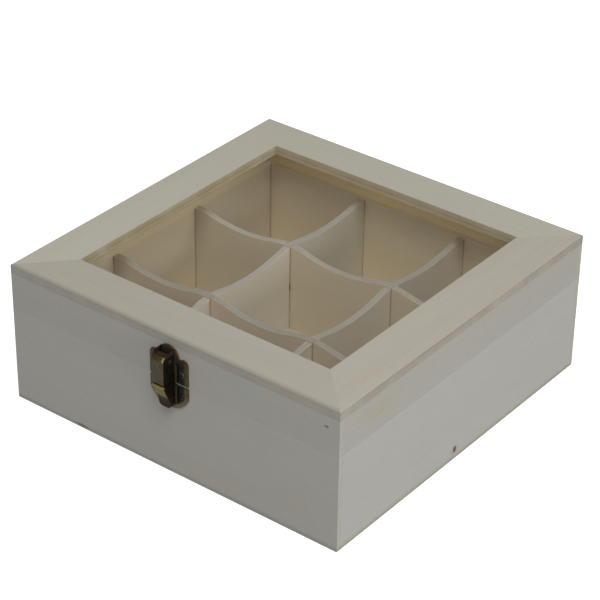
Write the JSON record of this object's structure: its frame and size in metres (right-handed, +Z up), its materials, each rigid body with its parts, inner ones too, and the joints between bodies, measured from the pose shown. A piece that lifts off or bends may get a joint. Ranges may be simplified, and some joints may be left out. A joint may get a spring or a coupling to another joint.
{
  "type": "tea bag organizer box",
  "caption": "Square light-wood tea box with a hinged glazed lid, scalloped crossed dividers that form equal compartments, and an antique-brass swing latch.",
  "frame": {"origin": "centre of the underside of the bottom panel", "axes": "+X to the right seen from the latch side, +Y from the latch side to the hinge side, +Z up"},
  "size_m": [0.24, 0.2575, 0.0925],
  "materials": {
    "wood_raw": "raw, finely sanded, unvarnished pale wood",
    "wood_inner": "raw pale plywood and softwood strips",
    "plywood_bottom": "raw pale plywood panel",
    "glass": "clear float glass",
    "antique_brass": "antique brass, darkened, edges rubbed bright",
    "steel": "bare steel wire"
  },
  "bodies": {
    "base": {"base_front_wall": "wood_raw", "base_back_wall": "wood_raw", "base_left_wall": "wood_raw", "base_right_wall": "wood_raw", "base_bottom_panel": "plywood_bottom", "base_bottom_brads": "steel", "divider_front": "wood_inner", "divider_back": "wood_inner", "divider_left": "wood_inner", "divider_right": "wood_inner", "hinge_left_base_leaf": "antique_brass", "hinge_left_pin": "antique_brass", "hinge_right_base_leaf": "antique_brass", "hinge_right_pin": "antique_brass", "hinge_base_nails": "antique_brass", "latch_lower_plate": "antique_brass", "latch_base_nails": "antique_brass"},
    "lid": {"lid_front_rail": "wood_raw", "lid_back_rail": "wood_raw", "lid_left_rail": "wood_raw", "lid_right_rail": "wood_raw", "lid_frame_front": "wood_raw", "lid_frame_back": "wood_raw", "lid_frame_left": "wood_raw", "lid_frame_right": "wood_raw", "glass_pane": "glass", "glazing_bead_front": "wood_inner", "glazing_bead_back": "wood_inner", "glazing_bead_left": "wood_inner", "glazing_bead_right": "wood_inner", "glazing_pins": "steel", "hinge_left_lid_leaf": "antique_brass", "hinge_right_lid_leaf": "antique_brass", "hinge_lid_nails": "antique_brass", "latch_upper_plate": "antique_brass", "latch_pin": "antique_brass", "latch_lid_nails": "antique_brass"},
    "lever": {"latch_lever": "antique_brass"}
  },
  "joints": [
    {"name": "lid_hinge", "type": "hinge", "parent": "base", "child": "lid", "pos_m": [0, 0.1222, 0.063], "axis": [-1, 0, 0], "range_deg": [0, 100]},
    {"name": "latch_lever_hinge", "type": "hinge", "parent": "lid", "child": "lever", "pos_m": [0.0016, -0.126, 0.0806], "axis": [-1, 0, 0], "range_deg": [0, 150]}
  ]
}
